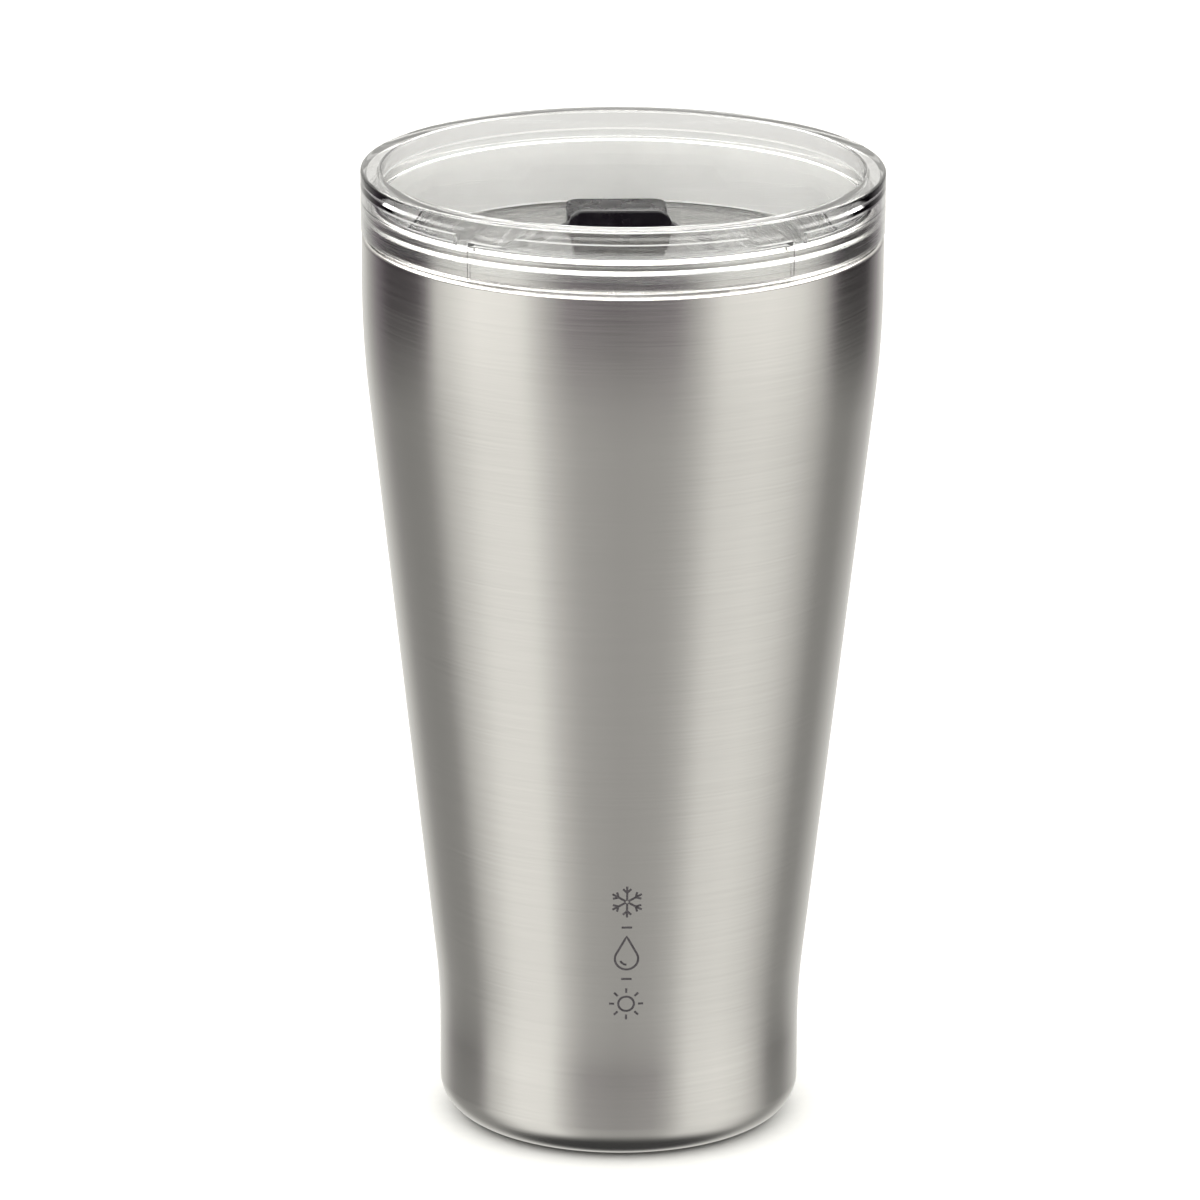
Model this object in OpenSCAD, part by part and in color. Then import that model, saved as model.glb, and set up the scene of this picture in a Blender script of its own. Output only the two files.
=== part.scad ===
/* [Cup outline] */
// Radius of the straight wall just above the base
base_r = 31.4; // [28:0.1:34]
// Radius of the straight wall just under the lid
top_r = 44.8; // [43:0.1:46]
// Radius of the rounded corner where the wall turns under the base
base_corner_r = 6.1; // [4:0.1:8]
// Height at which the straight base wall and the cone would meet
lower_bend_z = 22.2; // [20:0.1:26]
// Distance from the lower bend to each end of its smooth curve
lower_bend_reach = 6.6; // [4:0.1:9]
// Height at which the cone and the straight top wall would meet
upper_bend_z = 140.2; // [136:0.1:142]
// Distance from the upper bend to each end of its smooth curve
upper_bend_reach = 10.5; // [6:0.1:12]
// Height of the shoulder that the lid stands over
shoulder_z = 158.4; // [157:0.1:159]
// Outer radius of the neck above the shoulder
neck_r = 43.8; // [43.6:0.1:43.8]
// Height of the drinking lip
lip_z = 164.2; // [163.5:0.1:164.5]

/* [Double wall] */
// Thickness of the steel sheet
sheet = 0.5; // [0.4:0.05:0.6]
// Vacuum gap between the two walls
vacuum_gap = 2.4; // [1.8:0.1:3]
// Height of the chamber's floor
chamber_floor_z = 9; // [8:0.1:11]
// Radius of the chamber's bottom corner
chamber_corner_r = 8; // [6:0.5:10]
// Inner radius of the mouth that receives the lid
mouth_r = 42.5; // [42:0.1:42.5]
// Height at which the mouth's straight wall begins
mouth_z = 146; // [144:0.1:147]
// Height at which the liner starts to widen into the mouth
flare_z = 138; // [134:0.5:141]

/* [Base] */
// Inner radius of the flat ring that the cup stands on
foot_in_r = 23.8; // [23:0.1:24.5]
// Height of the recess under the base
recess_h = 2; // [1.6:0.1:2.4]
// Radius of the dimple around the evacuation hole
dimple_r = 6; // [5:0.5:7]
// Radius of the cover disc under the base
cover_r = 20.6; // [18:0.1:20.8]
// Radius of the getter pill
getter_r = 4.5; // [3.5:0.5:5]

/* [Lid] */
// Outer radius of the lid
lid_r = 45; // [44.6:0.1:46]
// Height of the lid's rim
rim_z = 169.6; // [168:0.1:172]
// Height of the lower edge of the lid's skirt
skirt_z = 159; // [158.8:0.1:159.4]
// Inner radius of the skirt
skirt_in_r = 44.1; // [44.1:0.1:44.2]
// Inner radius of the flat top of the rim
rim_in_r = 41.9; // [41.8:0.1:42]
// Radius of the bowl just under its rim
bowl_top_r = 41.5; // [41.3:0.1:41.6]
// Radius of the bowl near its floor
bowl_floor_r = 40; // [39.6:0.1:40.1]
// Height of the bowl's floor
floor_z = 153.6; // [153:0.1:155]
// Thickness of the bowl's floor
floor_t = 2; // [1.6:0.1:2.4]
// Outer radius of the plug inside the mouth
plug_r = 42.1; // [41.8:0.1:42.2]
// Half angle of the solid front of the rim, where the hollow above the lip stops
front_half_angle = 42; // [40:1:50]
// Half angle of the shallow pocket in the front of the skirt
pocket_half_angle = 38; // [30:1:39]

/* [Slider] */
// Width of the slider's plate
plate_w = 17.5; // [15:0.5:20]
// Length of the slider's plate
plate_l = 14.1; // [13.8:0.1:14.4]
// Distance from the lid's axis to the plate's back end when closed
plate_back_y = 35.6; // [35.2:0.1:36]
// Thickness of the slider's plate
plate_t = 1.6; // [1.4:0.1:2]
// Width of the bridge between the plate and the thumb grip
bridge_w = 12; // [8:0.5:13]
// Height of the thumb grip above the floor
grip_h = 5.3; // [4:0.1:6]
// Width of the thumb grip at its foot
grip_w = 23.4; // [18:0.1:24]
// Width of the thumb grip at its top
grip_top_w = 12.5; // [10:0.5:16]
// Distance from the lid's axis to the front face of the grip when closed
grip_y = 11.4; // [11.4:0.1:13]
// Thickness of the thumb grip
grip_t = 2.4; // [2:0.1:4]
// Travel of the slider from closed to open
slide_travel = 15; // [14:0.5:15]
// Width of the stem that runs in the lid's slot
stem_w = 4.2; // [3:0.1:5]
// Length of the stem along the slot
stem_l = 3.6; // [3:0.1:3.8]
// Distance from the lid's axis to the back of the stem when closed
stem_back_y = 23.4; // [23:0.1:23.6]
// Width of the drinking hole
sip_w = 13; // [10:0.5:14]
// Length of the drinking hole, towards the rim
sip_l = 8; // [6:0.5:8]
// Distance from the lid's axis to the near side of the drinking hole
sip_y = 25.5; // [25.3:0.1:26]

/* [Hidden] */

$fn = 96;
ARC_STEPS = 8;
EPS = 0.01;
// A hairline gap keeps welded and glued pieces from sharing volume
JOIN_GAP = 0.03;
// The gap between pieces that move past each other
RUN_GAP = 0.3;

STEEL = [0.72, 0.71, 0.69];
DARK_STEEL = [0.50, 0.50, 0.50];
CLEAR = [0.86, 0.88, 0.88, 0.45];
SILICONE = [0.90, 0.90, 0.88];
BLACK = [0.06, 0.05, 0.07];

taper = atan((top_r - base_r) / (upper_bend_z - lower_bend_z));
lower_bend_r = lower_bend_reach / tan(taper / 2);
upper_bend_r = upper_bend_reach / tan(taper / 2);
wall = 2 * sheet + vacuum_gap;
getter_x = dimple_r + getter_r + 2;

// The seat of the gasket, a shallow recess round the plug up to the lip
plug_z = floor_z - floor_t;
seat_z = plug_z + 1.3;
seat_r = plug_r - 0.5;
channel_z = lip_z + RUN_GAP;

// The rolled lip: a bead above a narrow waist
lip_low_z = lip_z - 3.9;
waist_z = lip_z - 1.9;
waist_r = neck_r - 0.7;

// The slider hangs a hair above the floor, with its seal in a recess below it
plate_z = floor_z + 0.1;
stem_y = stem_back_y - stem_l;
seal_w = sip_w + 3;
seal_l = 10.2;
seal_t = 0.8;
seal_y = plate_back_y - seal_l - 0.8;

// Points along an arc about centre c, from angle a to angle b
function arc(c, r, a, b, steps = ARC_STEPS) =
    [for (i = [0 : steps]) let (t = a + (b - a) * i / steps) [c[0] + r * cos(t), c[1] + r * sin(t)]];

function reversed(points) = [for (i = [len(points) - 1 : -1 : 0]) points[i]];

// The two bends of the wall, taken inward from the outer face by depth d
function lower_bend(d) =
    arc([base_r + lower_bend_r, lower_bend_z - lower_bend_reach], lower_bend_r + d, 180, 180 - taper);
function upper_bend(d, end = 0) =
    arc([top_r - upper_bend_r, upper_bend_z + upper_bend_reach], upper_bend_r - d, -taper, -end);

// The angle on the upper bend, at depth d, where it reaches height z
function upper_bend_angle(d, z) =
    asin((upper_bend_z + upper_bend_reach - z) / (upper_bend_r - d));

// A solid of revolution from radius and height pairs
module turned(points) {
    rotate_extrude() polygon(points);
}

// A plate with rounded corners, centred on x, standing on z = 0
module rounded_plate(w, l, h, r) {
    for (x = [-w / 2 + r, w / 2 - r], y = [r, l - r]) {
        translate([x, y, 0]) cylinder(h = h, r = r);
    }
    translate([-w / 2, r, 0]) cube([w, l - 2 * r, h]);
    translate([-w / 2 + r, 0, 0]) cube([w - 2 * r, l, h]);
}

// Outer wall, with the rolled foot below and the necked-in lip above
module outer_shell() {
    corner_c = [base_r - base_corner_r, base_corner_r];
    shoulder_r = 0.9;
    shoulder_c = [top_r - shoulder_r, shoulder_z - shoulder_r];
    neck_top_z = lip_low_z - JOIN_GAP;
    color(STEEL) turned(concat(
        [[foot_in_r, 0]],
        arc(corner_c, base_corner_r, -90, 0),
        lower_bend(0),
        upper_bend(0),
        arc(shoulder_c, shoulder_r, 0, 90, 5),
        [[neck_r, shoulder_z], [neck_r, neck_top_z]],
        [[neck_r - sheet, neck_top_z], [neck_r - sheet, shoulder_z - sheet]],
        reversed(arc(shoulder_c, shoulder_r - sheet, 0, 90, 5)),
        reversed(upper_bend(sheet)),
        reversed(lower_bend(sheet)),
        reversed(arc(corner_c, base_corner_r - sheet, -90, 0)),
        [[foot_in_r, sheet]]
    ));
}

// Inner wall, which holds the drink and rolls out over the neck as the drinking lip
module inner_liner() {
    inner_r = base_r - wall;
    corner_c = [inner_r - chamber_corner_r, chamber_floor_z + chamber_corner_r];
    outer_mouth_r = mouth_r + sheet;
    bead_r = (lip_z - waist_z) / 2;
    color(STEEL) turned(concat(
        [[0, chamber_floor_z]],
        arc(corner_c, chamber_corner_r, -90, 0),
        lower_bend(wall),
        upper_bend(wall, upper_bend_angle(wall, flare_z)),
        [[mouth_r, mouth_z], [mouth_r, lip_z - 0.2], [mouth_r + 0.2, lip_z]],
        arc([neck_r - 0.3 - bead_r, lip_z - bead_r], bead_r, 80, -50, 8),
        [[waist_r, waist_z], [neck_r, waist_z - 0.6]],
        [[neck_r, lip_low_z], [outer_mouth_r, lip_low_z], [outer_mouth_r, mouth_z]],
        reversed(upper_bend(wall - sheet, upper_bend_angle(wall - sheet, flare_z))),
        reversed(lower_bend(wall - sheet)),
        reversed(arc(corner_c, chamber_corner_r + sheet, -90, 0)),
        [[0, chamber_floor_z - sheet]]
    ));
}

// Dished plate welded inside the foot, with a dimple around the evacuation hole
module outer_base() {
    edge_r = foot_in_r - JOIN_GAP;
    dimple_h = 0.9;
    hole_r = 0.8;
    color(STEEL) turned([
        [hole_r, recess_h + dimple_h],
        [dimple_r - dimple_h, recess_h + dimple_h],
        [dimple_r, recess_h],
        [edge_r - 2.8, recess_h],
        [edge_r - 1.2, 0],
        [edge_r, 0],
        [edge_r, sheet],
        [edge_r - 0.9, sheet],
        [edge_r - 2.5, recess_h + sheet],
        [dimple_r + 0.3, recess_h + sheet],
        [dimple_r - dimple_h + 0.3, recess_h + dimple_h + sheet],
        [hole_r, recess_h + dimple_h + sheet]
    ]);
}

// Stamped disc that hides the dimple, with a raised bead that is bonded to the base
module base_cover() {
    low_z = 1;
    cover_t = 0.4;
    color(STEEL) turned([
        [0, low_z],
        [cover_r - 0.6, low_z],
        [cover_r, low_z + 0.5],
        [cover_r, recess_h - JOIN_GAP],
        [cover_r - 1, recess_h - JOIN_GAP],
        [cover_r - 1, low_z + cover_t],
        [0, low_z + cover_t]
    ]);
}

// Glass bead that closes the evacuation hole
module evacuation_seal() {
    bead_top_z = recess_h + 0.9 - JOIN_GAP;
    color(DARK_STEEL) {
        translate([0, 0, bead_top_z - 0.7]) cylinder(h = 0.7, r1 = 1.4, r2 = 2.2);
        translate([0, 0, bead_top_z - EPS]) cylinder(h = sheet, r = 0.8 - JOIN_GAP);
    }
}

// Pressed pill that takes up gas left in the vacuum
module getter_pill() {
    color(DARK_STEEL)
        translate([getter_x, 0, recess_h + sheet + JOIN_GAP]) cylinder(h = 2, r = getter_r);
}

// Spot-welded strap that holds the pill down on the base
module getter_strap() {
    strap_w = 5;
    strap_t = 0.3;
    foot_l = 2.4;
    inner = 2 * getter_r + 0.6;
    inner_h = 2.2;
    low_z = recess_h + sheet + JOIN_GAP;
    color(STEEL) translate([getter_x - strap_w / 2, 0, low_z]) {
        translate([0, -inner / 2 - strap_t, inner_h]) cube([strap_w, inner + 2 * strap_t, strap_t]);
        for (side = [-1, 1]) {
            translate([0, side * (inner + strap_t) / 2 - strap_t / 2, 0]) cube([strap_w, strap_t, inner_h + EPS]);
            translate([0, side * (inner + foot_l) / 2 - foot_l / 2, 0]) cube([strap_w, foot_l, strap_t]);
        }
    }
}

// Part of a ring about the axis, between two radii, two heights and two directions
module ring_sector(r0, r1, z0, z1, a0, a1) {
    rotate([0, 0, a0]) rotate_extrude(angle = a1 - a0)
        translate([r0, z0]) square([r1 - r0, z1 - z0]);
}

// Clear lid: a bowl that plugs the mouth, with a hollow rim and a skirt that stands over the lip
module lid_body() {
    rim_outer_r = 0.5;
    rim_inner_r = rim_in_r - bowl_top_r;
    bowl_corner_r = 0.8;
    cut_z = floor_z - floor_t - 1;
    cut_h = floor_t + 2;
    rim_t = 3.4;
    hollow_in_r = plug_r + 0.2;
    hollow_out_r = skirt_in_r - 0.2;
    pocket_h = 0.8;
    step_h = 1.6;
    step_half_angle = 28.5;
    low_z = channel_z - 0.5;
    relief_z = skirt_z - 1;
    color(CLEAR) difference() {
        turned(concat(
            [[skirt_in_r, skirt_z], [lid_r - 0.3, skirt_z], [lid_r, skirt_z + 0.3]],
            arc([lid_r - rim_outer_r, rim_z - rim_outer_r], rim_outer_r, 0, 90, 6),
            arc([rim_in_r, rim_z - rim_inner_r], rim_inner_r, 90, 180, 5),
            arc([bowl_floor_r - bowl_corner_r, floor_z + bowl_corner_r], bowl_corner_r, 0, -90, 6),
            [[0, floor_z], [0, plug_z], [plug_r - 0.6, plug_z], [plug_r, plug_z + 0.6]],
            [[plug_r, seat_z], [seat_r, seat_z], [seat_r, channel_z], [skirt_in_r, channel_z]]
        ));
        ring_sector(
            hollow_in_r, hollow_out_r, low_z, rim_z - rim_t,
            -90 + front_half_angle, 270 - front_half_angle
        );
        ring_sector(
            hollow_in_r, hollow_out_r, low_z, channel_z + pocket_h,
            -90 - pocket_half_angle, -90 + pocket_half_angle
        );
        ring_sector(
            hollow_in_r + 0.1, hollow_out_r - 0.1, low_z, channel_z + pocket_h + step_h,
            -90 - step_half_angle, -90 + step_half_angle
        );
        ring_sector(
            hollow_out_r - 0.2, skirt_in_r + 0.2, relief_z, channel_z + pocket_h - 0.1,
            -90 - pocket_half_angle, -90 + pocket_half_angle
        );
        translate([0, sip_y, cut_z]) rounded_plate(sip_w, sip_l, cut_h, 3);
        translate([0, stem_y - slide_travel - RUN_GAP, cut_z])
            rounded_plate(stem_w + 2.6 * RUN_GAP, slide_travel + stem_l + 2 * RUN_GAP, cut_h, 0.6);
    }
}

// Silicone sleeve with three wiping ribs, in its seat round the plug
module lid_gasket() {
    low_z = seat_z + JOIN_GAP;
    top_z = lip_z;
    in_r = seat_r + JOIN_GAP;
    body_r = seat_r + 0.4;
    rib_r = mouth_r - RUN_GAP;
    rib_h = 0.9;
    rib_step = 2.6;
    color(SILICONE) turned(concat(
        [[in_r, low_z]],
        [for (i = [0 : 2], k = [0 : 3]) [
            k == 0 || k == 3 ? body_r : rib_r,
            low_z + rib_step * i + rib_h * [0, 0.3, 0.7, 1][k]
        ]],
        [[body_r, top_z], [in_r, top_z]]
    ));
}

// The grip seen from the front, as a low arch with rounded shoulders and a short flare at its foot
module grip_face() {
    shoulder_r = 2.6;
    flare_w = 0.9;
    flare_h = 2;
    right = concat(
        [[grip_w / 2, 0], [grip_w / 2 - flare_w, flare_h]],
        arc([grip_top_w / 2, grip_h - shoulder_r], shoulder_r, 10, 90, 6)
    );
    polygon(concat(right, reversed([for (p = right) [-p[0], p[1]]])));
}

// Black slider: a plate over the drinking hole, a bridge to the thumb grip and a stem through the floor
module slider() {
    stem_low_z = plate_z - 4.1;
    bridge_l = plate_back_y - plate_l - grip_y + 2.5;
    bridge_t = plate_t - 0.3;
    color(BLACK) difference() {
        union() {
            translate([0, plate_back_y - plate_l, plate_z]) rounded_plate(plate_w, plate_l, plate_t, 2.5);
            translate([0, grip_y + 0.5, plate_z]) rounded_plate(bridge_w, bridge_l, bridge_t, 0.8);
            translate([0, grip_y + grip_t, plate_z]) rotate([90, 0, 0]) linear_extrude(grip_t) grip_face();
            translate([-stem_w / 2, stem_y, stem_low_z]) cube([stem_w, stem_l, plate_z - stem_low_z + EPS]);
        }
        translate([0, seal_y, plate_z - EPS]) rounded_plate(seal_w, seal_l, seal_t + EPS, 3);
    }
}

// Silicone pad in the plate's recess, over the drinking hole
module slider_seal() {
    color(SILICONE) translate([0, seal_y + JOIN_GAP, plate_z])
        rounded_plate(seal_w - 2 * JOIN_GAP, seal_l - 2 * JOIN_GAP, seal_t - JOIN_GAP, 3 - JOIN_GAP);
}

// Clip pushed onto the stem from below, which keeps the slider in its slot
module slider_clip() {
    clip_w = 10;
    clip_l = 8;
    clip_t = 1.4;
    clip_z = floor_z - floor_t - RUN_GAP - clip_t;
    color(BLACK) translate([0, stem_y, clip_z]) difference() {
        translate([0, (stem_l - clip_l) / 2, 0]) rounded_plate(clip_w, clip_l, clip_t, 1.5);
        translate([-stem_w / 2 - JOIN_GAP, -JOIN_GAP, -EPS])
            cube([stem_w + 2 * JOIN_GAP, stem_l + 2 * JOIN_GAP, clip_t + 2 * EPS]);
    }
}

outer_shell();
inner_liner();
outer_base();
base_cover();
evacuation_seal();
getter_pill();
getter_strap();
lid_body();
lid_gasket();
slider();
slider_seal();
slider_clip();
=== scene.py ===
import math

import bmesh
import bpy
from mathutils import Euler, Matrix, Vector


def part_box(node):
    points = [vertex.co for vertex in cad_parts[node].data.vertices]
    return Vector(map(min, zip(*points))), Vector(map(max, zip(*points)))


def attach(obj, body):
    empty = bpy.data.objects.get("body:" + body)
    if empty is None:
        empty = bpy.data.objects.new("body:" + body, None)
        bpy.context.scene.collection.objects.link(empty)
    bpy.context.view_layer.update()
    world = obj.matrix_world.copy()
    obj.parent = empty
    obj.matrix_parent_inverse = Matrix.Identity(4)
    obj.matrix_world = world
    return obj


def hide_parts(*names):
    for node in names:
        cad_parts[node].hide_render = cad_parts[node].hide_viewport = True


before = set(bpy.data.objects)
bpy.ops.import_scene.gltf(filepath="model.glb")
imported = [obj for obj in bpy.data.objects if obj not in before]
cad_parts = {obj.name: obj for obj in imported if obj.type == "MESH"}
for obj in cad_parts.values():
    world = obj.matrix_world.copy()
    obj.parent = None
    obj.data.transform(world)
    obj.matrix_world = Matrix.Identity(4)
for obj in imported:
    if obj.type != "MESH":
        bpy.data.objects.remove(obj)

# Insulated tumbler with a clear slide lid. Outlines are (radius, height) pairs in millimetres.
MM = 0.001
LATHE_STEPS = 288
SHARP_ANGLE = math.radians(32)

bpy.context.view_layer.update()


# ---------------------------------------------------------------- sizes, in millimetres

def box_mm(node):
    low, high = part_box(node)
    return low / MM, high / MM


shell_high = box_mm("outer_shell")[1]
liner_high = box_mm("inner_liner")[1]
lid_low, lid_high = box_mm("lid_body")
slider_low, slider_high = box_mm("slider")

RUN_GAP = 0.3
JOIN_GAP = 0.03

BASE_R = 31.4
TOP_R = shell_high.x
BASE_CORNER_R = 6.1
LOWER_BEND_Z, LOWER_REACH = 22.2, 6.6
UPPER_BEND_Z, UPPER_REACH = 140.2, 10.5
SHOULDER_Z = 158.4
NECK_R = 43.8
MOUTH_R = 42.5
LIP_Z = liner_high.z
LIP_LOW_Z = LIP_Z - 3.9
WAIST_Z = LIP_Z - 1.9
SHEET = 0.5
WALL = 3.4
TAPER = math.atan2(TOP_R - BASE_R, UPPER_BEND_Z - LOWER_BEND_Z)

LID_R = lid_high.x
RIM_Z = lid_high.z
PLUG_Z = lid_low.z
SKIRT_Z = 159.0
SKIRT_IN_R = NECK_R + RUN_GAP
RIM_IN_R = 41.9
BOWL_TOP_R = 41.5
BOWL_FLOOR_R = 40.0
PLUG_R = 42.1
SEAT_R = PLUG_R - 0.5
SEAT_Z = PLUG_Z + 1.3
FLOOR_Z = 153.6
CHANNEL_Z = LIP_Z + RUN_GAP
RIM_SOLID = 3.4

PLATE_FRONT_Y, PLATE_BACK_Y = 21.5, slider_high.y
GRIP_Y, GRIP_T = slider_low.y, 2.4
SLIDER_Z = FLOOR_Z + 0.1
STEM_W, STEM_L, STEM_BACK_Y = 4.2, 3.6, 23.4
SLIDE_TRAVEL = 15.0
SLOT_W = STEM_W + 2.6 * RUN_GAP
SLOT_Y = STEM_BACK_Y - STEM_L - SLIDE_TRAVEL - RUN_GAP
SIP_W, SIP_L, SIP_Y = 13.0, 8.0, 25.5


# ---------------------------------------------------------------- outlines

def arc(centre, r, start, end, steps=8):
    """Points along an arc, in degrees, anticlockwise from +radius towards +height."""
    turns = [math.radians(start + (end - start) * i / steps) for i in range(steps + 1)]
    return [(centre[0] + r * math.cos(t), centre[1] + r * math.sin(t)) for t in turns]


def lower_bend(depth, steps=16):
    r = LOWER_REACH / math.tan(TAPER / 2)
    return arc((BASE_R + r, LOWER_BEND_Z - LOWER_REACH), r + depth, 180, 180 - math.degrees(TAPER), steps)


def upper_bend(depth, end=0.0, steps=16):
    r = UPPER_REACH / math.tan(TAPER / 2)
    return arc((TOP_R - r, UPPER_BEND_Z + UPPER_REACH), r - depth, -math.degrees(TAPER), -end, steps)


def wall_radius(z):
    """Radius of the outer wall at a height on the lower bend or the cone."""
    bend_r = LOWER_REACH / math.tan(TAPER / 2)
    bend_low_z = LOWER_BEND_Z - LOWER_REACH
    if z < bend_low_z + bend_r * math.sin(TAPER):
        return BASE_R + bend_r - math.sqrt(bend_r ** 2 - (z - bend_low_z) ** 2)
    return BASE_R + (z - LOWER_BEND_Z) * math.tan(TAPER)


# ---------------------------------------------------------------- mesh helpers

def add_object(name, mesh):
    obj = bpy.data.objects.new(name, mesh)
    bpy.context.scene.collection.objects.link(obj)
    return obj


def smooth(mesh, angle=SHARP_ANGLE):
    mesh.polygons.foreach_set("use_smooth", [True] * len(mesh.polygons))
    mesh.set_sharp_from_angle(angle=angle)


def from_bmesh(name, bm, angle=SHARP_ANGLE):
    bmesh.ops.recalc_face_normals(bm, faces=bm.faces)
    mesh = bpy.data.meshes.new(name)
    bm.to_mesh(mesh)
    bm.free()
    smooth(mesh, angle)
    return add_object(name, mesh)


def lathe(name, outline, steps=LATHE_STEPS):
    """A closed solid of revolution. A point on the axis becomes one pole."""
    bm = bmesh.new()
    turn = 2 * math.pi / steps
    rings = []
    for r, z in outline:
        if r < 1e-6:
            rings.append([bm.verts.new((0, 0, z * MM))])
        else:
            rings.append([
                bm.verts.new((r * MM * math.cos(turn * i), r * MM * math.sin(turn * i), z * MM))
                for i in range(steps)
            ])
    for ring, following in zip(rings, rings[1:] + rings[:1]):
        if len(ring) == 1 and len(following) == 1:
            continue
        for i in range(steps):
            j = (i + 1) % steps
            corners = []
            for vert in (
                ring[i % len(ring)], ring[j % len(ring)],
                following[j % len(following)], following[i % len(following)],
            ):
                if vert not in corners:
                    corners.append(vert)
            bm.faces.new(corners)
    return from_bmesh(name, bm)


def prism(name, outline, low, high):
    """A closed prism from (x, y) pairs in millimetres, between two heights."""
    bm = bmesh.new()
    rings = [[bm.verts.new((x * MM, y * MM, z * MM)) for x, y in outline] for z in (low, high)]
    bm.faces.new(reversed(rings[0]))
    bm.faces.new(rings[1])
    for i in range(len(outline)):
        j = (i + 1) % len(outline)
        bm.faces.new((rings[0][i], rings[0][j], rings[1][j], rings[1][i]))
    return from_bmesh(name, bm)


def rounded_rectangle(x0, x1, y0, y1, r, steps=8):
    return (
        arc((x1 - r, y0 + r), r, -90, 0, steps) + arc((x1 - r, y1 - r), r, 0, 90, steps)
        + arc((x0 + r, y1 - r), r, 90, 180, steps) + arc((x0 + r, y0 + r), r, 180, 270, steps)
    )


def bake(obj, angle=SHARP_ANGLE):
    """Applies an object's modifiers."""
    graph = bpy.context.evaluated_depsgraph_get()
    mesh = bpy.data.meshes.new_from_object(obj.evaluated_get(graph))
    obj.modifiers.clear()
    obj.data = mesh
    smooth(mesh, angle)


def cut(obj, cutter):
    modifier = obj.modifiers.new("cut", "BOOLEAN")
    modifier.operation = "DIFFERENCE"
    modifier.solver = "EXACT"
    modifier.object = cutter
    bake(obj)
    bpy.data.objects.remove(cutter)


def bevel(obj, width, segments=3, angle=30):
    modifier = obj.modifiers.new("bevel", "BEVEL")
    modifier.width = width * MM
    modifier.segments = segments
    modifier.limit_method = "ANGLE"
    modifier.angle_limit = math.radians(angle)
    modifier.harden_normals = False
    bake(obj)


# ---------------------------------------------------------------- material helpers

def add_node(tree, kind, inputs=None, **settings):
    """Adds a node, sets its properties, and links or sets its inputs."""
    node = tree.nodes.new(kind)
    for key, value in settings.items():
        setattr(node, key, value)
    for key, value in (inputs or {}).items():
        if isinstance(value, bpy.types.NodeSocket):
            tree.links.new(value, node.inputs[key])
        else:
            node.inputs[key].default_value = value
    return node


def new_material(name, color):
    material = bpy.data.materials.new(name)
    material.use_nodes = True
    material.diffuse_color = (*color, 1)
    tree = material.node_tree
    tree.nodes.clear()
    shader = add_node(tree, "ShaderNodeBsdfPrincipled")
    output = add_node(tree, "ShaderNodeOutputMaterial", {"Surface": shader.outputs["BSDF"]})
    return material, tree, shader, output


def stretched_noise(tree, scale, detail=3.0, roughness=0.6):
    """Noise in the object's own metres, with cells per metre along x, y and z."""
    coords = add_node(tree, "ShaderNodeTexCoord")
    mapping = add_node(tree, "ShaderNodeMapping", {"Vector": coords.outputs["Object"], "Scale": scale})
    return add_node(tree, "ShaderNodeTexNoise", {
        "Vector": mapping.outputs["Vector"], "Scale": 1.0, "Detail": detail, "Roughness": roughness,
    }).outputs["Fac"]


def spread(tree, fac, low, high):
    """Maps noise, which stays near a half, to the range from low to high."""
    return add_node(tree, "ShaderNodeMapRange", {
        "Value": fac, "From Min": 0.3, "From Max": 0.7, "To Min": low, "To Max": high,
    }).outputs["Result"]


def mix_color(tree, fac, a, b):
    node = add_node(tree, "ShaderNodeMix", data_type="RGBA")
    for key, value in ((0, fac), (6, a), (7, b)):
        if isinstance(value, bpy.types.NodeSocket):
            tree.links.new(value, node.inputs[key])
        else:
            node.inputs[key].default_value = value
    return node.outputs[2]


def brushed_steel(name, color, roughness, streak, bump_mm):
    """Steel with fine brushing round the axis: streaks of centimetres, a fraction of a millimetre apart."""
    material, tree, shader, _ = new_material(name, color)
    coarse = stretched_noise(tree, (26, 26, 2600), 4.0, 0.65)
    fine = stretched_noise(tree, (70, 70, 9000), 2.0, 0.5)
    cloud = stretched_noise(tree, (30, 30, 22), 3.0, 0.5)
    both = add_node(tree, "ShaderNodeMath", {0: coarse, 1: fine}, operation="ADD").outputs[0]
    grain = add_node(tree, "ShaderNodeMath", {0: both, 1: 0.5}, operation="MULTIPLY").outputs[0]
    darker = (*[c * (1 - streak) for c in color], 1)
    lighter = (*[min(1.0, c * (1 + streak)) for c in color], 1)
    tone = mix_color(tree, spread(tree, grain, 0.0, 1.0), darker, lighter)
    tree.links.new(tone, shader.inputs["Base Color"])
    rough_grain = spread(tree, grain, roughness * 0.85, roughness * 1.15)
    rough_cloud = spread(tree, cloud, -0.015, 0.02)
    rough = add_node(tree, "ShaderNodeMath", {0: rough_grain, 1: rough_cloud}, operation="ADD").outputs[0]
    tree.links.new(rough, shader.inputs["Roughness"])
    bump = add_node(tree, "ShaderNodeBump", {"Height": grain, "Strength": 0.35, "Distance": bump_mm * MM})
    tree.links.new(bump.outputs["Normal"], shader.inputs["Normal"])
    tangent = add_node(tree, "ShaderNodeTangent", direction_type="RADIAL", axis="Z")
    tree.links.new(tangent.outputs["Tangent"], shader.inputs["Tangent"])
    shader.inputs["Metallic"].default_value = 1.0
    shader.inputs["Anisotropic"].default_value = 0.6
    shader.inputs["Anisotropic Rotation"].default_value = 0.25
    return material


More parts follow.
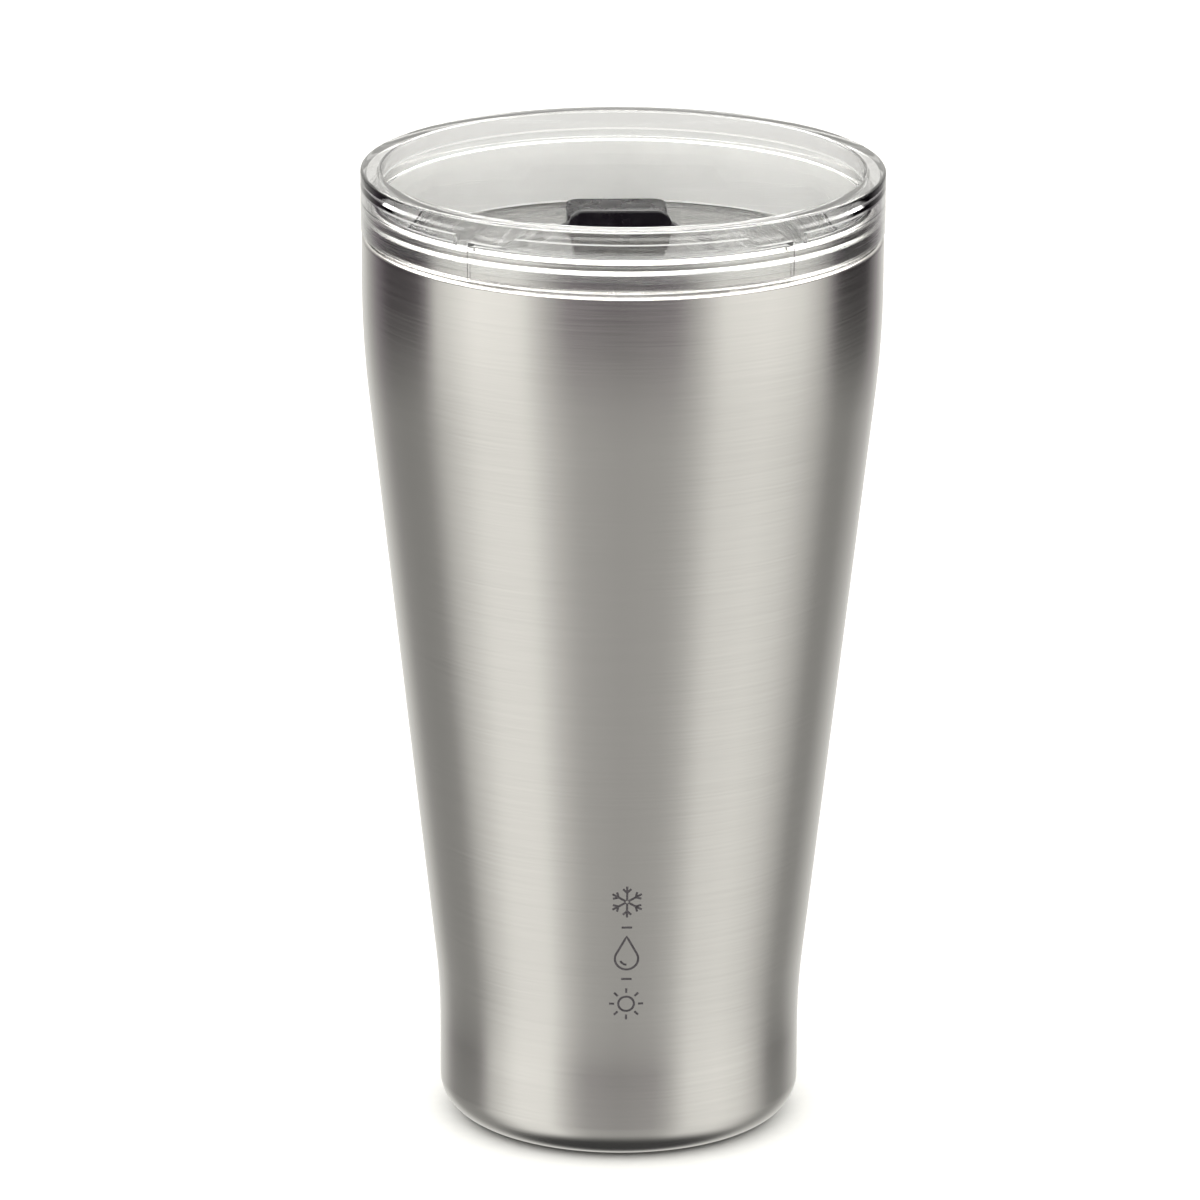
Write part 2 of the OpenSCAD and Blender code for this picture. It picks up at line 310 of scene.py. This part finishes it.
def clear_plastic(name):
    """Clear copolyester, a little grey where it is thick, with the faint waviness of a moulding."""
    color = (0.97, 0.975, 0.975)
    material, tree, shader, output = new_material(name, color)
    grey = add_node(tree, "ShaderNodeVolumeAbsorption", {"Color": (0.55, 0.54, 0.56, 1), "Density": 80.0})
    tree.links.new(grey.outputs["Volume"], output.inputs["Volume"])
    flow = stretched_noise(tree, (60, 60, 90), 2.0, 0.4)
    haze = stretched_noise(tree, (240, 240, 240), 3.0, 0.5)
    bump = add_node(tree, "ShaderNodeBump", {"Height": flow, "Strength": 0.03, "Distance": 0.25 * MM})
    tree.links.new(bump.outputs["Normal"], shader.inputs["Normal"])
    tone = mix_color(tree, spread(tree, haze, 0, 1), (*[c * 0.985 for c in color], 1), (*color, 1))
    tree.links.new(tone, shader.inputs["Base Color"])
    shader.inputs["Roughness"].default_value = 0.02
    shader.inputs["IOR"].default_value = 1.5
    shader.inputs["Transmission Weight"].default_value = 1.0
    return material


def black_plastic(name):
    """Glossy moulded black plastic with a trace of moulding texture and handling haze."""
    color = (0.0022, 0.0016, 0.0026)
    material, tree, shader, _ = new_material(name, color)
    haze = stretched_noise(tree, (160, 160, 160), 4.0, 0.6)
    peel = stretched_noise(tree, (900, 900, 900), 2.0, 0.5)
    tone = mix_color(tree, spread(tree, haze, 0, 1), (*color, 1), (*[c * 1.6 for c in color], 1))
    tree.links.new(tone, shader.inputs["Base Color"])
    tree.links.new(spread(tree, haze, 0.22, 0.32), shader.inputs["Roughness"])
    shader.inputs["Specular IOR Level"].default_value = 0.14
    bump = add_node(tree, "ShaderNodeBump", {"Height": peel, "Strength": 0.06, "Distance": 0.05 * MM})
    tree.links.new(bump.outputs["Normal"], shader.inputs["Normal"])
    return material


def between(tree, color, low, high, fac):
    """A colour that noise moves between two strengths."""
    dark, light = [(*[c * k for c in color], 1) for k in (low, high)]
    return mix_color(tree, spread(tree, fac, 0, 1), dark, light)


def silicone(name):
    """Milky soft silicone with a fine matt skin, white against the plastic; the outer face, away from the
    plastic, is painted darker as painted shade.
    """
    color = (0.92, 0.915, 0.90)
    material, tree, shader, _ = new_material(name, color)
    skin = stretched_noise(tree, (1500, 1500, 1500), 2.0, 0.5)
    dust = stretched_noise(tree, (120, 120, 120), 4.0, 0.6)
    unshaded = between(tree, color, 0.96, 1.0, dust)
    # Painted shade: past the seat, the silicone's outer face is drawn at well under half its white, to sit
    # under the bright light overhead.
    painted_shade_outer = between(tree, color, 0.36, 0.44, dust)
    coords = add_node(tree, "ShaderNodeTexCoord")
    flat = add_node(tree, "ShaderNodeVectorMath", {
        0: coords.outputs["Object"], 1: (1, 1, 0),
    }, operation="MULTIPLY")
    radius = add_node(tree, "ShaderNodeVectorMath", {0: flat.outputs["Vector"]}, operation="LENGTH")
    # Mask for the painted shade: nought on the inner face, one from just past the seat outwards.
    outer_shade_mask = add_node(tree, "ShaderNodeMapRange", {
        "Value": radius.outputs["Value"], "From Min": (SEAT_R + 0.1) * MM, "From Max": (SEAT_R + 0.3) * MM,
    }).outputs["Result"]
    tree.links.new(mix_color(tree, outer_shade_mask, unshaded, painted_shade_outer), shader.inputs["Base Color"])
    tree.links.new(spread(tree, dust, 0.42, 0.55), shader.inputs["Roughness"])
    bump = add_node(tree, "ShaderNodeBump", {"Height": skin, "Strength": 0.15, "Distance": 0.03 * MM})
    tree.links.new(bump.outputs["Normal"], shader.inputs["Normal"])
    shader.inputs["Transmission Weight"].default_value = 0.06
    return material


def solder_glass(name):
    """Fused dark solder glass: smooth, slightly milky, with flow lines."""
    color = (0.10, 0.10, 0.105)
    material, tree, shader, _ = new_material(name, color)
    flow = stretched_noise(tree, (900, 900, 300), 4.0, 0.55)
    tree.links.new(between(tree, color, 0.6, 1.7, flow), shader.inputs["Base Color"])
    tree.links.new(spread(tree, flow, 0.12, 0.24), shader.inputs["Roughness"])
    bump = add_node(tree, "ShaderNodeBump", {"Height": flow, "Strength": 0.2, "Distance": 0.05 * MM})
    tree.links.new(bump.outputs["Normal"], shader.inputs["Normal"])
    return material


def sintered_metal(name):
    """Pressed and sintered powder: dark, matt and grainy."""
    color = (0.20, 0.20, 0.205)
    material, tree, shader, _ = new_material(name, color)
    grit = stretched_noise(tree, (4200, 4200, 4200), 3.0, 0.6)
    stain = stretched_noise(tree, (260, 260, 260), 3.0, 0.5)
    tree.links.new(between(tree, color, 0.75, 1.25, stain), shader.inputs["Base Color"])
    tree.links.new(spread(tree, grit, 0.5, 0.72), shader.inputs["Roughness"])
    bump = add_node(tree, "ShaderNodeBump", {"Height": grit, "Strength": 0.5, "Distance": 0.06 * MM})
    tree.links.new(bump.outputs["Normal"], shader.inputs["Normal"])
    shader.inputs["Metallic"].default_value = 0.9
    return material


def etched(name):
    """Laser-darkened steel: matt, with a fine vertical hatch."""
    color = (0.07, 0.065, 0.07)
    material, tree, shader, _ = new_material(name, color)
    grain = stretched_noise(tree, (3000, 3000, 5000), 2.0, 0.5)
    tree.links.new(between(tree, color, 0.7, 1.5, grain), shader.inputs["Base Color"])
    tree.links.new(spread(tree, grain, 0.45, 0.6), shader.inputs["Roughness"])
    shader.inputs["Metallic"].default_value = 0.7
    return material


STEEL = (0.66, 0.648, 0.628)
MATERIALS = {
    "brushed_shell": brushed_steel("brushed_shell", STEEL, 0.22, 0.045, 0.012),
    "liner_steel": brushed_steel("liner_steel", (0.70, 0.69, 0.675), 0.26, 0.03, 0.010),
    "base_steel": brushed_steel("base_steel", (0.62, 0.61, 0.60), 0.32, 0.05, 0.015),
    "clear_plastic": clear_plastic("clear_plastic"),
    "black_plastic": black_plastic("black_plastic"),
    "silicone": silicone("silicone"),
    "seal_glass": solder_glass("seal_glass"),
    "getter_metal": sintered_metal("getter_metal"),
}


def place(obj, body, slot, *nodes):
    """Gives a piece its material, picked by the slot name, and its body, and hides the CAD nodes that it
    stands in for.
    """
    obj.data.materials.clear()
    obj.data.materials.append(MATERIALS[slot])
    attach(obj, body)
    if nodes:
        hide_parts(*nodes)
    return obj


# ---------------------------------------------------------------- cup

def outer_shell():
    foot_in = 23.8
    corner = (BASE_R - BASE_CORNER_R, BASE_CORNER_R)
    shoulder_r = 0.9
    shoulder = (TOP_R - shoulder_r, SHOULDER_Z - shoulder_r)
    root_r = 0.4
    neck_top = LIP_LOW_Z - JOIN_GAP
    return lathe("outer_shell_fine", (
        [(foot_in, 0)]
        + arc(corner, BASE_CORNER_R, -90, 0, 20)
        + lower_bend(0, 20) + upper_bend(0, 0, 24)
        + arc(shoulder, shoulder_r, 0, 90, 10)
        + arc((NECK_R + root_r, SHOULDER_Z + root_r), root_r, 270, 180, 5)
        + [(NECK_R, neck_top), (NECK_R - SHEET, neck_top), (NECK_R - SHEET, SHOULDER_Z - SHEET)]
        + arc(shoulder, shoulder_r - SHEET, 90, 0, 6)
        + upper_bend(SHEET, 0, 16)[::-1] + lower_bend(SHEET, 16)[::-1]
        + arc(corner, BASE_CORNER_R - SHEET, 0, -90, 12)
        + [(foot_in, SHEET)]
    ))


def inner_liner():
    inner_r = BASE_R - WALL
    corner_r = 8
    floor_z = 9
    flare_z, mouth_z = 138, 146
    corner = (inner_r - corner_r, floor_z + corner_r)
    outer_mouth = MOUTH_R + SHEET
    lip_in_r = 0.25
    bead_r = (LIP_Z - WAIST_Z) / 2
    waist_r = NECK_R - 0.7
    bend_r = UPPER_REACH / math.tan(TAPER / 2)

    def flare_angle(depth):
        return math.degrees(math.asin((UPPER_BEND_Z + UPPER_REACH - flare_z) / (bend_r - depth)))

    return lathe("inner_liner_fine", (
        [(0, floor_z), (6, floor_z)]
        + arc(corner, corner_r, -90, 0, 16)
        + lower_bend(WALL) + upper_bend(WALL, flare_angle(WALL), 8)
        + [(MOUTH_R, mouth_z)]
        + arc((MOUTH_R + lip_in_r, LIP_Z - lip_in_r), lip_in_r, 180, 90, 6)
        + arc((NECK_R - 0.3 - bead_r, LIP_Z - bead_r), bead_r, 80, -45, 14)
        + arc((waist_r + 0.35, WAIST_Z + 0.12), 0.3, 150, 200, 5)
        + [(NECK_R, WAIST_Z - 0.6), (NECK_R, LIP_LOW_Z)]
        + [(outer_mouth, LIP_LOW_Z), (outer_mouth, mouth_z)]
        + upper_bend(WALL - SHEET, flare_angle(WALL - SHEET), 8)[::-1] + lower_bend(WALL - SHEET)[::-1]
        + arc(corner, corner_r + SHEET, 0, -90, 16)
        + [(6, floor_z - SHEET), (0, floor_z - SHEET)]
    ))


place(outer_shell(), "cup", "brushed_shell", "outer_shell")
place(inner_liner(), "cup", "liner_steel", "inner_liner")


def ribbon(bm, points, width, closed=False):
    """A thin band along (across, height) points in millimetres, laid on the front of the wall."""
    skin, root = 0.03, -0.10
    count = len(points)
    sections = []
    for i, (u, v) in enumerate(points):
        before = points[i - 1] if i or closed else points[0]
        after = points[(i + 1) % count] if closed or i < count - 1 else points[i]
        du, dv = after[0] - before[0], after[1] - before[1]
        length = math.hypot(du, dv)
        side_u, side_v = -dv / length * width / 2, du / length * width / 2
        section = []
        for sign, depth in ((1, skin), (-1, skin), (-1, root), (1, root)):
            z = v + sign * side_v
            r = wall_radius(z)
            a = (u + sign * side_u) / r
            out = (r + depth) * MM
            section.append(bm.verts.new((out * math.sin(a), -out * math.cos(a), z * MM)))
        sections.append(section)
    for i in range(count if closed else count - 1):
        a, b = sections[i], sections[(i + 1) % count]
        for k in range(4):
            n = (k + 1) % 4
            bm.faces.new((a[k], a[n], b[n], b[k]))
    if not closed:
        bm.faces.new(sections[0])
        bm.faces.new(sections[-1])


def stroke(start, end, steps=8):
    return [tuple(s + (e - s) * i / steps for s, e in zip(start, end)) for i in range(steps + 1)]


def polar(centre, r, degrees):
    return centre[0] + r * math.cos(math.radians(degrees)), centre[1] + r * math.sin(math.radians(degrees))


def etched_mark():
    """Three small line pictograms, one above the other: a snowflake, a drop and a sun."""
    width = 0.38
    cold, drop, hot = (0, 48.6), (0, 38.8), (0, 29.4)
    bm = bmesh.new()
    for spoke in range(6):
        heading = 90 + 60 * spoke
        ribbon(bm, stroke(polar(cold, 0.25, heading), polar(cold, 2.9, heading)), width)
        for turn in (-45, 45):
            fork = polar(cold, 1.7, heading)
            ribbon(bm, stroke(polar(fork, 0.1, heading + turn), polar(fork, 1.0, heading + turn), 4), width)
    tip, belly_r = (drop[0], drop[1] + 3.3), 2.0
    belly = [polar((drop[0], drop[1] - 0.9), belly_r, 150 + 240 * i / 30) for i in range(31)]
    ribbon(bm, belly + stroke(belly[-1], tip, 6)[1:-1] + stroke(tip, belly[0], 6)[:-1], width, closed=True)
    ribbon(bm, [polar((drop[0], drop[1] - 0.9), 1.1, 200 + 70 * i / 10) for i in range(11)], width)
    ribbon(bm, [polar(hot, 1.35, 10 * i) for i in range(36)], width, closed=True)
    for ray in range(8):
        ribbon(bm, stroke(polar(hot, 2.05, 45 * ray), polar(hot, 2.95, 45 * ray), 4), width)
    for height in (43.8, 34.1):
        ribbon(bm, stroke((-0.9, height), (0.9, height), 6), width)
    return from_bmesh("etched_mark", bm)


mark = etched_mark()
mark.data.materials.append(etched("etched_steel"))
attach(mark, "cup")


# ---------------------------------------------------------------- lid

def lid_body():
    rim_outer_r = 0.5
    rim_inner_r = RIM_IN_R - BOWL_TOP_R
    bowl_corner_r = 0.8
    body = lathe("lid_body_fine", (
        [(SKIRT_IN_R, SKIRT_Z + 0.1), (SKIRT_IN_R + 0.1, SKIRT_Z)]
        + arc((LID_R - 0.3, SKIRT_Z + 0.3), 0.3, 270, 360, 4)
        + arc((LID_R - rim_outer_r, RIM_Z - rim_outer_r), rim_outer_r, 0, 90, 10)
        + arc((RIM_IN_R, RIM_Z - rim_inner_r), rim_inner_r, 90, 180, 8)
        + arc((BOWL_FLOOR_R - bowl_corner_r, FLOOR_Z + bowl_corner_r), bowl_corner_r, 0, -90, 8)
        + [(0, FLOOR_Z), (0, PLUG_Z)]
        + arc((PLUG_R - 0.6, PLUG_Z + 0.6), 0.6, -90, 0, 8)
        + [(PLUG_R, SEAT_Z), (SEAT_R, SEAT_Z)]
        + arc((SEAT_R + 0.3, CHANNEL_Z - 0.3), 0.3, 180, 90, 4)
        + arc((SKIRT_IN_R - 0.3, CHANNEL_Z - 0.3), 0.3, 90, 0, 4)
    ))
    low, high = PLUG_Z - 1, FLOOR_Z + 1
    sip = rounded_rectangle(-SIP_W / 2, SIP_W / 2, SIP_Y, SIP_Y + SIP_L, 3)
    slot = rounded_rectangle(-SLOT_W / 2, SLOT_W / 2, SLOT_Y, STEM_BACK_Y + RUN_GAP, 0.6)
    cut(body, prism("sip_cutter", sip, low, high))
    cut(body, prism("slot_cutter", slot, low, high))
    hollow_in, hollow_out = PLUG_R + 0.2, SKIRT_IN_R - 0.2
    base = CHANNEL_Z - 0.5
    front, pocket = 42.0, 38.0
    step_low, step_high = 30.8, 26.6
    pocket_z = CHANNEL_Z + 0.8
    step_z = pocket_z + 1.6
    cut(body, ring_sector("hollow", hollow_in, hollow_out, base, RIM_Z - RIM_SOLID, front, 360 - front))
    cut(body, ring_sector("pocket", hollow_in, hollow_out, base, pocket_z, -pocket, pocket))
    cut(body, ring_sector(
        "relief", hollow_out - 0.2, SKIRT_IN_R + 0.2, SKIRT_Z - 1, pocket_z - 0.1, -pocket, pocket,
    ))
    cut(body, ring_sector(
        "step", hollow_in + 0.1, hollow_out - 0.1, pocket_z - 0.5, step_z,
        -step_low, step_low, -step_high, step_high,
    ))
    return body


def ring_sector(name, r0, r1, low, high, start, end, top_start=None, top_end=None):
    """Part of a ring between two directions, in degrees from the front, whose ends may lean."""
    top_start = start if top_start is None else top_start
    top_end = end if top_end is None else top_end
    steps = max(24, round((end - start) * LATHE_STEPS / 360))
    bm = bmesh.new()
    sections = []
    for i in range(steps + 1):
        t = i / steps
        at_low = math.radians(start + (end - start) * t)
        at_high = math.radians(top_start + (top_end - top_start) * t)
        sections.append([
            bm.verts.new((r * MM * math.sin(a), -r * MM * math.cos(a), z * MM))
            for r, z, a in ((r0, low, at_low), (r1, low, at_low), (r1, high, at_high), (r0, high, at_high))
        ])
    for a, b in zip(sections, sections[1:]):
        for k in range(4):
            n = (k + 1) % 4
            bm.faces.new((a[k], a[n], b[n], b[k]))
    bm.faces.new(sections[0])
    bm.faces.new(sections[-1])
    return from_bmesh(name, bm)


def lid_gasket():
    """A thin silicone sleeve with three rounded ribs."""
    low, high = box_mm("lid_gasket")
    in_r = SEAT_R + JOIN_GAP
    body_r = SEAT_R + 0.4
    rib_h, rib_r, rib_step = 0.9, 0.25, 2.6
    outline = [(in_r, low.z)]
    for i in range(3):
        foot = low.z + rib_step * i
        crest = arc((high.x - rib_r, foot + rib_h / 2), rib_r, -80, 80, 8)
        outline += [(body_r, foot)] + crest + [(body_r, foot + rib_h)]
    outline += [(body_r, high.z - 0.1), (body_r - 0.1, high.z), (in_r, high.z)]
    return lathe("lid_gasket_fine", outline)


place(lid_body(), "lid", "clear_plastic", "lid_body")
place(lid_gasket(), "lid", "silicone", "lid_gasket")


# ---------------------------------------------------------------- slider

def slider_plate():
    plate_w, plate_t = 17.5, 1.6
    seal_w, seal_l, seal_t, seal_inset = 16.0, 10.2, 0.8, 0.8
    back = PLATE_BACK_Y
    outline = rounded_rectangle(-plate_w / 2, plate_w / 2, PLATE_FRONT_Y, back, 2.5)
    recess = rounded_rectangle(-seal_w / 2, seal_w / 2, back - seal_inset - seal_l, back - seal_inset, 3)
    plate = prism("slider_plate", outline, SLIDER_Z, SLIDER_Z + plate_t)
    cut(plate, prism("seal_cutter", recess, SLIDER_Z - 1, SLIDER_Z + seal_t))
    bevel(plate, 0.35)
    return plate


def slider_bridge():
    """Joins the plate to the grip, and runs a little way into both."""
    half_w, bridge_t = 6.0, 1.3
    outline = rounded_rectangle(-half_w, half_w, GRIP_Y + 0.5, PLATE_FRONT_Y + 3, 0.8)
    bridge = prism("slider_bridge", outline, SLIDER_Z, SLIDER_Z + bridge_t)
    bevel(bridge, 0.3)
    return bridge


def slider_grip():
    """The thumb grip: a low upright arch with rounded edges."""
    grip_w, top_w, shoulder_r = 23.4, 12.5, 2.6
    rise = slider_high.z - SLIDER_Z
    right = (
        [(grip_w / 2, 0), (grip_w / 2 - 0.15, 0.9), (grip_w / 2 - 0.9, 2)]
        + arc((top_w / 2, rise - shoulder_r), shoulder_r, 10, 90, 10)
    )
    face = right + [(-x, z) for x, z in reversed(right)]
    bm = bmesh.new()
    rings = []
    for y in (GRIP_Y, GRIP_Y + GRIP_T):
        rings.append([bm.verts.new((x * MM, y * MM, (SLIDER_Z + z) * MM)) for x, z in face])
    bm.faces.new(rings[0])
    bm.faces.new(reversed(rings[1]))
    for i in range(len(face)):
        j = (i + 1) % len(face)
        bm.faces.new((rings[0][i], rings[0][j], rings[1][j], rings[1][i]))
    grip = from_bmesh("slider_grip", bm)
    bevel(grip, 0.6, 4, 40)
    return grip


def slider_stem():
    outline = rounded_rectangle(-STEM_W / 2, STEM_W / 2, STEM_BACK_Y - STEM_L, STEM_BACK_Y, 0.4)
    return prism("slider_stem", outline, slider_low.z, SLIDER_Z + 0.05)


place(slider_plate(), "closure", "black_plastic", "slider")
place(slider_bridge(), "closure", "black_plastic")
place(slider_grip(), "closure", "black_plastic")
place(slider_stem(), "closure", "black_plastic")

CARRIED = {
    "outer_base": "base_steel",
    "base_cover": "base_steel",
    "evacuation_seal": "seal_glass",
    "getter_pill": "getter_metal",
    "getter_strap": "getter_metal",
    "slider_seal": "silicone",
    "slider_clip": "black_plastic",
}
for node_name, slot_name in CARRIED.items():
    for index in range(len(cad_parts[node_name].material_slots)):
        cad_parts[node_name].material_slots[index].material = MATERIALS[slot_name]


# ---------------------------------------------------------------- studio

CAMERA_AZIMUTH = -2.2
CAMERA_DISTANCE = 1465.9
CAMERA_HEIGHT = 529.5
CAMERA_PITCH = 16.606
CAMERA_LENS = 264.3
CAMERA_SHIFT = -0.0175
CAMERA_ROLL = 0.30

# The studio: softboxes, the gaps between them and dark flags, as (degrees round from the camera, brightness).
# Brightness is the grey, of 255, that the steel shows when it reflects that direction. LEVEL_RING lies round
# the horizon, STEEP_RING below it and UPPER_RING above it.
LEVEL_RING = [
    (-180, 204), (-160, 185), (-150, 150), (-137, 90), (-126, 32), (-103, 32), (-96, 76), (-90, 190),
    (-68, 232), (-46, 222), (-36, 168), (-24, 82), (0, 52), (24, 78), (35, 160), (45, 216),
    (68, 224), (86, 212), (100, 160), (107, 70), (111, 16), (136, 20), (151, 130), (162, 185), (180, 204),
]
STEEP_RING = [
    (-180, 204), (-152, 175), (-137, 134), (-120, 126), (-104, 130), (-92, 170), (-70, 212), (-46, 214),
    (-33, 178), (-20, 154), (0, 147), (22, 151), (33, 165), (46, 198), (68, 206), (86, 194), (103, 164),
    (116, 130), (130, 128), (150, 170), (180, 204),
]
UPPER_RING = [
    (-180, 225), (-150, 200), (-130, 120), (-110, 70), (-70, 74), (-50, 110), (0, 128), (50, 110),
    (70, 74), (110, 70), (130, 120), (150, 200), (180, 225),
]
# A tall bright band above the rings, the dimmer ceiling over it, and the dark under the foot
SKY, CROWN, CONTACT = 7.5, 1.1, 0.05
# Where each part of the studio passes into the next, as the sine of the height over the horizon
STEEP_FADE = (-0.275, -0.34)
CONTACT_FADE = (-0.70, -0.92)
UPPER_FADE = (0.02, 0.20)
SKY_FADE = (0.36, 0.50)
CROWN_FADE = (0.74, 0.90)
# The lamps' warmth, and the purple that the dark panels of two of the rings take
WARM = (1.01, 1.0, 0.955)
LEVEL_TINT = (1.28, 0.84, 1.36)
UPPER_TINT = (1.12, 0.90, 1.14)


def display_to_linear(level):
    c = level / 255
    return ((c + 0.055) / 1.055) ** 2.4 if c > 0.04045 else c / 12.92


def ring_ramp(tree, fac, ring, tint):
    """A colour ramp over the horizon. Dark panels take the tint."""
    ramp = add_node(tree, "ShaderNodeValToRGB", {"Fac": fac})
    ramp.color_ramp.interpolation = "LINEAR"
    elements = ramp.color_ramp.elements
    while len(elements) > 1:
        elements.remove(elements[-1])
    for i, (azimuth, level) in enumerate(ring):
        position = (azimuth + 180) / 360
        element = elements[0] if i == 0 else elements.new(position)
        element.position = position
        value = display_to_linear(level) / STEEL[1]
        darkness = max(0.0, 1 - level / 150)
        element.color = (*[value * warm * (1 + (t - 1) * darkness) for t, warm in zip(tint, WARM)], 1)
    return ramp.outputs["Color"]


def studio_world():
    world = bpy.data.worlds.new("studio")
    world.use_nodes = True
    tree = world.node_tree
    tree.nodes.clear()
    coords = add_node(tree, "ShaderNodeTexCoord")
    mapping = add_node(tree, "ShaderNodeMapping", {
        "Vector": coords.outputs["Generated"], "Rotation": (0, 0, -math.radians(CAMERA_AZIMUTH)),
    })
    parts = add_node(tree, "ShaderNodeSeparateXYZ", {"Vector": mapping.outputs["Vector"]})
    toward = add_node(tree, "ShaderNodeMath", {0: parts.outputs["Y"], 1: -1.0}, operation="MULTIPLY")
    angle = add_node(tree, "ShaderNodeMath", {
        0: parts.outputs["X"], 1: toward.outputs[0],
    }, operation="ARCTAN2")
    fac = add_node(tree, "ShaderNodeMapRange", {
        "Value": angle.outputs[0], "From Min": -math.pi, "From Max": math.pi, "To Min": 0.0, "To Max": 1.0,
    }).outputs["Result"]
    height = parts.outputs["Z"]

    def fade(limits, below, above):
        amount = add_node(tree, "ShaderNodeMapRange", {
            "Value": height, "From Min": limits[0], "From Max": limits[1], "To Min": 0.0, "To Max": 1.0,
        }, interpolation_type="SMOOTHSTEP").outputs["Result"]
        return mix_color(tree, amount, below, above)

    whole = ring_ramp(tree, fac, LEVEL_RING, LEVEL_TINT)
    whole = fade(STEEP_FADE, whole, ring_ramp(tree, fac, STEEP_RING, (1.0, 1.0, 1.0)))
    whole = fade(CONTACT_FADE, whole, (CONTACT, CONTACT, CONTACT, 1))
    whole = fade(UPPER_FADE, whole, ring_ramp(tree, fac, UPPER_RING, UPPER_TINT))
    whole = fade(SKY_FADE, whole, (*[SKY * warm for warm in WARM], 1))
    whole = fade(CROWN_FADE, whole, (CROWN, CROWN, CROWN, 1))
    background = add_node(tree, "ShaderNodeBackground", {"Color": whole, "Strength": 1.0})
    add_node(tree, "ShaderNodeOutputWorld", {"Surface": background.outputs["Background"]})
    bpy.context.scene.world = world


def floor():
    mesh = bpy.data.meshes.new("studio_floor")
    half = 6.0
    corners = [(-half, -half, 0), (half, -half, 0), (half, half, 0), (-half, half, 0)]
    mesh.from_pydata(corners, [], [(0, 1, 2, 3)])
    obj = add_object("studio_floor", mesh)
    obj.location.z = -0.0002
    material, tree, shader, _ = new_material("studio_paper", (0.31, 0.31, 0.308))
    fibre = stretched_noise(tree, (400, 400, 400), 3.0, 0.6)
    tone = mix_color(tree, spread(tree, fibre, 0, 1), (0.305, 0.305, 0.303, 1), (0.315, 0.315, 0.313, 1))
    tree.links.new(tone, shader.inputs["Base Color"])
    shader.inputs["Roughness"].default_value = 0.9
    mesh.materials.append(material)
    obj.visible_glossy = False
    obj.visible_transmission = False


def area_light(name, location, size, power):
    data = bpy.data.lights.new(name, "AREA")
    data.shape = "RECTANGLE"
    data.size, data.size_y = size
    data.energy = power
    obj = bpy.data.objects.new(name, data)
    bpy.context.scene.collection.objects.link(obj)
    obj.location = location
    aim = Vector((0, 0, 0.1)) - Vector(location)
    obj.rotation_euler = aim.to_track_quat("-Z", "Y").to_euler()


def camera():
    data = bpy.data.cameras.new("camera")
    data.sensor_width = 36
    data.lens = CAMERA_LENS
    data.shift_x = CAMERA_SHIFT
    data.clip_start, data.clip_end = 0.05, 50
    obj = bpy.data.objects.new("camera", data)
    bpy.context.scene.collection.objects.link(obj)
    a = math.radians(CAMERA_AZIMUTH)
    obj.location = (
        CAMERA_DISTANCE * MM * math.sin(a), -CAMERA_DISTANCE * MM * math.cos(a), CAMERA_HEIGHT * MM,
    )
    aim = Euler((math.radians(90 - CAMERA_PITCH), 0, a)).to_matrix()
    obj.rotation_euler = (aim @ Matrix.Rotation(math.radians(CAMERA_ROLL), 3, "Z")).to_euler()
    bpy.context.scene.camera = obj


camera()
studio_world()
floor()
area_light("overhead_softbox", (-0.15, -0.35, 1.2), (1.0, 0.8), 6.0)

scene = bpy.context.scene
scene.view_settings.view_transform = "Standard"
scene.view_settings.look = "None"
